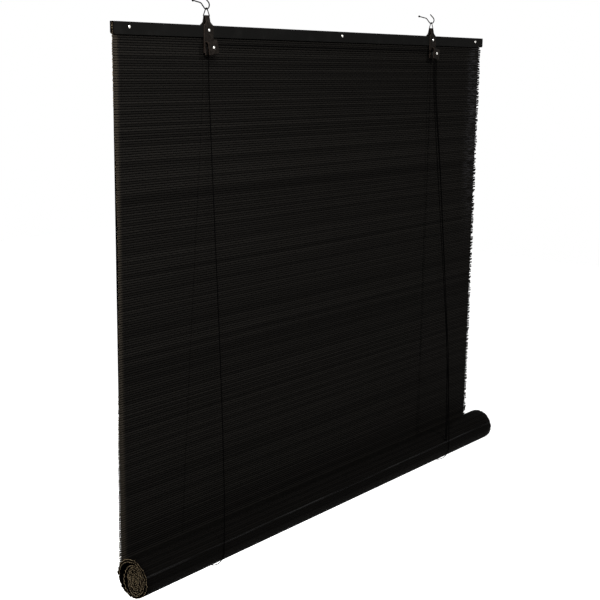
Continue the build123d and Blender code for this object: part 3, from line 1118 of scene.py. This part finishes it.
class BLIND_OT_leather(bpy.types.Operator):
    """Fold the straps over their rings and the tabs over their pulleys"""

    bl_idname = "blind.leather"
    bl_label = "Leather straps and tabs"

    def fold_strap(self, leather, name, x):
        """A leaf before and behind the rail, drawn in at the neck round the ring's bar."""
        low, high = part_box(f"{name}_strap")
        half = leather.thickness / 2
        leaf = high.y - half
        bar_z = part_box(f"{name}_ring")[0].z + RING_BAR_RADIUS
        turn = arc(high.z - half - bar_z, bar_z, range(12, 169, 12))
        back_foot = RAIL_FOOT + 0.001
        corners = [(leaf, back_foot), (leaf, RAIL_TOP), *turn, (-leaf, RAIL_TOP), (-leaf, low.z)]
        line = soften(even_line(corners, STRAP_STEP), 3)
        neck, full = leather.neck_width / 2, leather.strap_width / 2
        taper_foot, taper = RAIL_TOP - 0.001, 0.006
        shares = np.clip((line[:, 1] - taper_foot) / taper, 0.0, 1.0)
        widths = soften(full + (neck - full) * shares, 2)
        mesh = strip_mesh(f"{name}_strap_leather", line, widths, leather.thickness, x)
        settle(add_piece(mesh, "brown_hide"), "blind", "strap_leather", f"{name}_strap")

    def fold_tab(self, leather, name, turn):
        """A short strip folded over its pulley and turned on its rivet."""
        low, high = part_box(f"{name}_tab")
        half, reach = leather.thickness / 2, leather.tab_size / 2
        depth = (high.y - low.y) / 2 - half
        fold = arc(depth, reach - depth - half, range(0, 181, 12))
        line = soften(even_line([(depth, -reach), *fold, (-depth, -reach)], TAB_STEP), 2)
        widths = np.full(len(line), reach)
        mesh = strip_mesh(f"{name}_tab_leather", line, widths, leather.thickness)
        mesh.transform(Matrix.Translation((low + high) / 2) @ Matrix.Rotation(turn, 4, "Y"))
        settle(add_piece(mesh, "brown_hide"), "blind", "strap_leather", f"{name}_tab")

    def execute(self, context):
        leather = context.scene.blind.leather
        turns = {"left": leather.left_turn, "right": leather.right_turn}
        for name, x in STRAP_X.items():
            self.fold_strap(leather, name, x)
            self.fold_tab(leather, name, turns[name])
        return {"FINISHED"}


# Rivets


def rivet_form(front, back, sides=28):
    """A lathed rivet along Y: domed head with a rim before front, rolled tail behind back."""
    head, shank, tail = 0.00275, 0.0015, 0.0023
    dome_rise, fullness, rim = 0.0013, 0.8, 0.0002
    profile = [(0.0, front - RIVET_HEAD_RISE)]
    for angle in map(math.radians, (15, 30, 45, 60, 75, 84)):
        dome = dome_rise * math.cos(angle) ** fullness
        profile.append((head * math.sin(angle), front - rim - dome))
    profile += [(head, front - 0.0001), (head - 0.0001, front), (shank, front), (shank, back)]
    profile += [(tail - 0.0002, back), (tail, back + 0.0003), (tail - 0.0003, back + 0.0007)]
    profile += [(0.0012, back + RIVET_TAIL_RISE), (0.0009, back + 0.0003), (0.0, back + 0.0002)]
    vertices, rows, faces = [], [], []
    for radius, y in profile:
        count = sides if radius else 1
        rows.append([len(vertices) + step % count for step in range(sides + 1)])
        for angle in (2 * math.pi * step / sides for step in range(count)):
            vertices.append((radius * math.cos(angle), y, radius * math.sin(angle)))
    for first, second in zip(rows, rows[1:]):
        for a, b, c, d in zip(first, first[1:], second[1:], second):
            faces.append(tuple(dict.fromkeys((a, b, c, d))))
    mesh = new_mesh("rivet_form", vertices, faces)
    face_outwards(mesh)
    smooth(mesh)
    return add_object("rivet_form", mesh)


def rivet_tree():
    """The same rivet at each of a row of places."""
    tree, given = new_tree("Rivets", {"Rivet": "Object", "Places": "Object"})
    form, places = (
        out(tree, "GeometryNodeObjectInfo", {"Object": given[name]}, "Geometry")
        for name in ("Rivet", "Places")
    )
    return close_tree(set_out(places, form), given["Material"])


class BLIND_OT_rivets(bpy.types.Operator):
    """Set the domed rivets of the rail, straps and tabs"""

    bl_idname = "blind.rivets"
    bl_label = "Rivets"

    def execute(self, context):
        tree = rivet_tree()
        for name, columns in RIVET_X.items():
            low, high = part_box(name)
            form = rivet_form(low.y + RIVET_HEAD_RISE, high.y - RIVET_TAIL_RISE)
            level = (low.z + high.z) / 2
            spots = new_mesh("rivet_places", [(x, 0.0, level) for x in columns], [])
            places = add_object("rivet_places", spots)
            values = {"Rivet": form, "Places": places}
            rivets = grow(name + "_nickel", tree, "nickel_plate", values)
            for helper in (form, places):
                bpy.data.objects.remove(helper)
            settle(rivets, "blind", "rivet_nickel", name)
        return {"FINISHED"}


# Cords


def route_line(route):
    """Points read from the NURBS spline that has the route's points as its control points."""
    curve = bpy.data.curves.new("cord_route", "CURVE")
    curve.dimensions = "3D"
    curve.resolution_u = 40
    spline = curve.splines.new("NURBS")
    spline.points.add(len(route) - 1)
    for point, place in zip(spline.points, route):
        point.co = (*place, 1.0)
    spline.order_u = 3
    spline.use_endpoint_u = True
    holder = add_object("cord_route", curve)
    bpy.context.view_layer.update()
    mesh = bpy.data.meshes.new_from_object(holder)
    points = [tuple(v.co) for v in mesh.vertices]
    bpy.data.objects.remove(holder)
    bpy.data.meshes.remove(mesh)
    return points


def cord_mesh(name, line, radius, lay, sides=12):
    """A twisted cord of three strands along a line, with a UV map that follows the twist."""
    uv_length = 0.02
    furrow = 0.08
    run = run_lengths(line)
    tangents = directions(line)
    across = Vector(tangents[0]).orthogonal().normalized()
    vertices, twist_uv = [], []
    for point, tangent, place in zip(line, tangents, run):
        along = Vector(tangent)
        across = (across - along * across.dot(along)).normalized()
        beside = along.cross(across)
        turn = 2 * math.pi * place / lay
        for side in range(sides):
            angle = 2 * math.pi * side / sides
            lobe = radius * (1 - furrow + furrow * math.cos(3 * angle))
            offset = across * math.cos(angle + turn) + beside * math.sin(angle + turn)
            vertices.append(Vector(point) + offset * lobe)
    for low, high in zip(run / uv_length, run[1:] / uv_length):
        for side in range(sides):
            left, right = side / sides, (side + 1) / sides
            twist_uv += [(left, low), (right, low), (right, high), (left, high)]
    twist_uv += [(0.5, 0.5)] * (2 * sides)
    mesh = new_mesh(name, vertices, band(sides, len(line)))
    layer = mesh.uv_layers.new(name="twist")
    layer.data.foreach_set("uv", np.array(twist_uv, np.float32).ravel())
    smooth(mesh)
    return mesh


class BLIND_OT_cords(bpy.types.Operator):
    """Run the lift cords from the pulleys round the roll, and their free ends and knots"""

    bl_idname = "blind.cords"
    bl_label = "Lift cords"

    def lay_cord(
        self, context, name, route, body="blind", lay="taut", far_end="object", with_pieces=()
    ):
        """A cord along a route, ridden on its body in place of its CAD node."""
        cord = context.scene.blind.cord
        line = even_line(route_line(route), CORD_STEP)
        mesh = cord_mesh(name + "_twist", line, cord.diameter / 2, cord.lay)
        piece = settle(add_piece(mesh, "cord_black"), body, "cord_fabric", name)
        return piece

    def tie_knot(self, context, name, body, size, turn):
        """A trefoil of cord where the CAD has a ball."""
        cord = context.scene.blind.cord
        steps, fatness = 96, 1.25
        points = [
            (
                size * (math.sin(t) + 2 * math.sin(2 * t)),
                size * fatness * math.sin(3 * t),
                size * (math.cos(t) - 2 * math.cos(2 * t)),
            )
            for t in (2 * math.pi * step / steps for step in range(steps + 1))
        ]
        line = even_line(points, KNOT_STEP)
        mesh = cord_mesh(name + "_tied", line, cord.diameter / 2, cord.lay)
        low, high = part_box(name)
        mesh.transform(Matrix.Translation((low + high) / 2) @ Matrix.Rotation(turn, 4, "X"))
        return settle(add_piece(mesh, "cord_black"), body, "cord_fabric", name)

    def run_lift_cord(self, context, name, x):
        """The front run from the pulley, the back run from its knot, and the sling between."""
        front_top = Vector((x - PULLEY_LINE, GROOVE_Y[name], PULLEY_Z))
        back_top = Vector((x, BACK_CORD_Y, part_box(f"{name}_back_cord")[1].z))

        def touch(top, side):
            """The angle at which a straight run from top meets the sling."""
            across, rise = top.y - ROLL_AXIS.y, top.z - ROLL_AXIS.z
            lean = math.acos(SLING_RADIUS / math.hypot(across, rise))
            return math.atan2(rise, across) + side * lean

        def on_sling(angle, reach=1.0):
            """A point of the sling, or one further out by the factor reach."""
            radius = SLING_RADIUS * reach
            y = ROLL_AXIS.y + radius * math.cos(angle)
            return Vector((SLING_X[name], y, ROLL_AXIS.z + radius * math.sin(angle)))

        front_angle = touch(front_top, 1)
        back_angle = touch(back_top, -1) % (2 * math.pi)
        front_touch, back_touch = on_sling(front_angle), on_sling(back_angle)

        # Straight down out of the groove, then just before the roll
        straight_drops, near_roll, clearance = (0.03, 0.07), 0.87, 0.001
        below = [front_top - Vector((0.0, 0.0, drop)) for drop in straight_drops]
        swung = front_top.lerp(front_touch, near_roll)
        swung.y = front_touch.y - clearance
        route = [front_top, *below, swung, front_touch]
        run = self.lay_cord(context, f"{name}_front_cord", route)
        shorten(run, PULLEY_Z, front_touch.z)

        knot = self.tie_knot(context, f"{name}_back_knot", "blind", size=0.00062, turn=0.0)
        near_knot = 0.013
        route = [back_top, back_top.lerp(back_touch, near_knot), back_touch]
        run = self.lay_cord(context, f"{name}_back_cord", route, with_pieces=[knot])
        shorten(run, back_top.z, back_touch.z)

        bends = 6
        sweep = (back_angle - front_angle) / bends
        bulge = 1 / math.cos(sweep / 2)
        under = [on_sling(front_angle + sweep * (bend + 0.5), bulge) for bend in range(bends)]
        route = [front_touch, *under, back_touch]
        self.lay_cord(context, f"{name}_sling", route, "cord_slings")

    def execute(self, context):
        pull_knot = self.tie_knot(context, "pull_knot", "cord_slings", size=0.0008, turn=0.6)
        for name, x in STRAP_X.items():
            self.run_lift_cord(context, name, x)

        left_x, right_x = STRAP_X.values()
        top_z = PULLEY_Z + PULLEY_LINE
        rear, front = GROOVE_Y.values()
        lead = 0.006
        over_both = [
            (left_x - PULLEY_LINE, rear, PULLEY_Z),
            (left_x - PULLEY_LINE, rear, top_z),
            (left_x + lead, rear, top_z),
            (right_x - lead, rear, top_z),
            (right_x + PULLEY_LINE, rear, top_z),
            (right_x + PULLEY_LINE, rear, PULLEY_Z),
        ]
        over_right = [
            (right_x - PULLEY_LINE, front, PULLEY_Z),
            (right_x - PULLEY_LINE, front, top_z),
            (right_x + PULLEY_LINE, front, top_z),
            (right_x + PULLEY_LINE, front, PULLEY_Z),
        ]
        self.lay_cord(context, "cross_cord", over_both)
        # The bend over the right pulley is listed with the right pull cord's pieces
        bend = self.lay_cord(context, "right_cord_bend", over_right, far_end=None)
        carried = {"right": [bend, pull_knot], "left": ()}
        for name, route in PULL_ROUTES.items():
            run = self.lay_cord(
                context,
                f"{name}_pull_cord",
                route,
                lay="hanging",
                far_end="knot",
                with_pieces=carried[name],
            )
            shorten(run, PULLEY_Z, route[-1][2])
        return {"FINISHED"}


# Studio


def seen_white(plain, white):
    """White to the camera and in reflections, plain light for everything else."""
    tree = plain.tree
    path = node(tree, "ShaderNodeLightPath").outputs
    rays = ("Is Camera Ray", "Is Glossy Ray", "Is Transmission Ray")
    camera, glossy, through = (Value(tree, path[ray]) for ray in rays)
    seen = calc("MAXIMUM", camera, calc("MAXIMUM", glossy, through))
    return out(tree, "ShaderNodeMixShader", {0: seen, 1: plain, 2: white})


class BLIND_OT_stage(bpy.types.Operator):
    """Set the camera, the lights, the white surroundings and the floor"""

    bl_idname = "blind.stage"
    bl_label = "Studio"

    def surround(self, scene, fill):
        """An even dim light that looks white."""
        world = bpy.data.worlds.new("studio")
        scene.world = world
        world.use_nodes = True
        tree = world.node_tree
        plain = tree.nodes["Background"]
        plain.inputs["Color"].default_value = WHITE
        plain.inputs["Strength"].default_value = fill
        white = out(tree, "ShaderNodeBackground", {"Color": WHITE, "Strength": 1.0})
        seen = seen_white(Value(tree, plain.outputs[0]), white)
        put(tree, tree.nodes["World Output"].inputs["Surface"], seen)

    def lay_floor(self, level, half=9.0):
        """A pale floor that keeps its shadow and fades to white away from the blind."""
        sides = [(-half, -half), (half, -half), (half, half), (-half, half)]
        mesh = new_mesh("floor", [(x, y, level) for x, y in sides], [(0, 1, 2, 3)])
        tree = new_material("pale_floor")
        plain = Value(tree, fill_shader(tree, (0.8, 0.8, 0.8, 1), 0.9).outputs[0])
        near, far, dim = 2.4, 3.6, 0.82
        strength = ramp(length_of(object_place(tree)), near, far, dim, 1.0)
        glow = out(tree, "ShaderNodeEmission", {"Color": WHITE, "Strength": strength})
        lit = out(tree, "ShaderNodeAddShader", {0: plain, 1: glow})
        put(tree, tree.nodes["Material Output"].inputs["Surface"], seen_white(plain, lit))
        add_piece(mesh, "pale_floor")

    def hang_light(self, name, place, aim, size, power):
        """A square light that points at its aim."""
        light = bpy.data.lights.new(name, "AREA")
        light.size = size
        light.energy = power
        lamp = add_object(name, light)
        lamp.visible_camera = False
        lamp.location = place
        lamp.rotation_mode = "QUATERNION"
        lamp.rotation_quaternion = (Vector(aim) - Vector(place)).to_track_quat("-Z", "Y")

    def set_camera(self, scene, lens):
        """The photo's own view."""
        camera = bpy.data.cameras.new("camera")
        camera.lens = lens
        camera.sensor_width = 36.0
        eye = add_object("camera", camera)
        right = Vector((0.62069, -0.78394, 0.01342))
        up = Vector((0.146, 0.13238, 0.98039))
        back = Vector((-0.77034, -0.60656, 0.19662))
        turned = Matrix((right, up, back)).transposed().to_4x4()
        eye.matrix_world = Matrix.Translation((-1.96304, -1.47251, -0.09325)) @ turned
        scene.camera = eye

    def execute(self, context):
        scene = context.scene
        stage = scene.blind.stage
        scene.view_settings.view_transform = "Standard"
        self.surround(scene, stage.fill)
        self.lay_floor(stage.floor_drop)
        # Name, place, aim, size, share of the key light's power
        for name, place, aim, size, share in (
            ("key_light", (0.95, -2.75, 1.5), (0.0, 0.0, -0.5), 0.06, 1.0),
            ("top_light", (-0.95, -0.8, 0.5), (-0.35, 0.0, -0.4), 0.6, 0.25),
            ("back_light", (0.9, 2.3, 0.9), (0.0, 0.0, -0.5), 1.2, 1.4),
        ):
            self.hang_light(name, place, aim, size, stage.key_power * share)
        self.set_camera(scene, stage.lens)
        return {"FINISHED"}


class BLIND_PT_panel(bpy.types.Panel):
    """Lists the blind's operators and settings"""

    bl_idname = "BLIND_PT_panel"
    bl_label = "Roll-up blind"
    bl_space_type = "VIEW_3D"
    bl_region_type = "UI"
    bl_category = "Blind"

    def draw(self, context):
        blind = context.scene.blind
        for operator in OPERATORS:
            self.layout.operator(operator.bl_idname)
        for group in (blind.reed, blind.roll, blind.leather, blind.cord, blind.look, blind.stage):
            box = self.layout.box()
            for name in group.__annotations__:
                box.prop(group, name)


OPERATORS = (
    BLIND_OT_finishes,
    BLIND_OT_stage,
    BLIND_OT_cords,
    BLIND_OT_reed_mat,
    BLIND_OT_mat_roll,
    BLIND_OT_leather,
    BLIND_OT_rivets,
)
CLASSES = (
    ReedSettings,
    RollSettings,
    LeatherSettings,
    CordSettings,
    LookSettings,
    StageSettings,
    BlindSettings,
    *OPERATORS,
    BLIND_PT_panel,
)


def register():
    for made in CLASSES:
        bpy.utils.register_class(made)
    bpy.types.Scene.blind = bpy.props.PointerProperty(type=BlindSettings)


def unregister():
    del bpy.types.Scene.blind
    for made in reversed(CLASSES):
        bpy.utils.unregister_class(made)


def main():
    register()
    bpy.ops.blind.finishes()
    bpy.ops.blind.stage()
    bpy.ops.blind.cords()
    bpy.ops.blind.reed_mat()
    bpy.ops.blind.mat_roll()
    bpy.ops.blind.leather()
    bpy.ops.blind.rivets()
    bpy.context.view_layer.update()


if __name__ == "__main__":
    main()
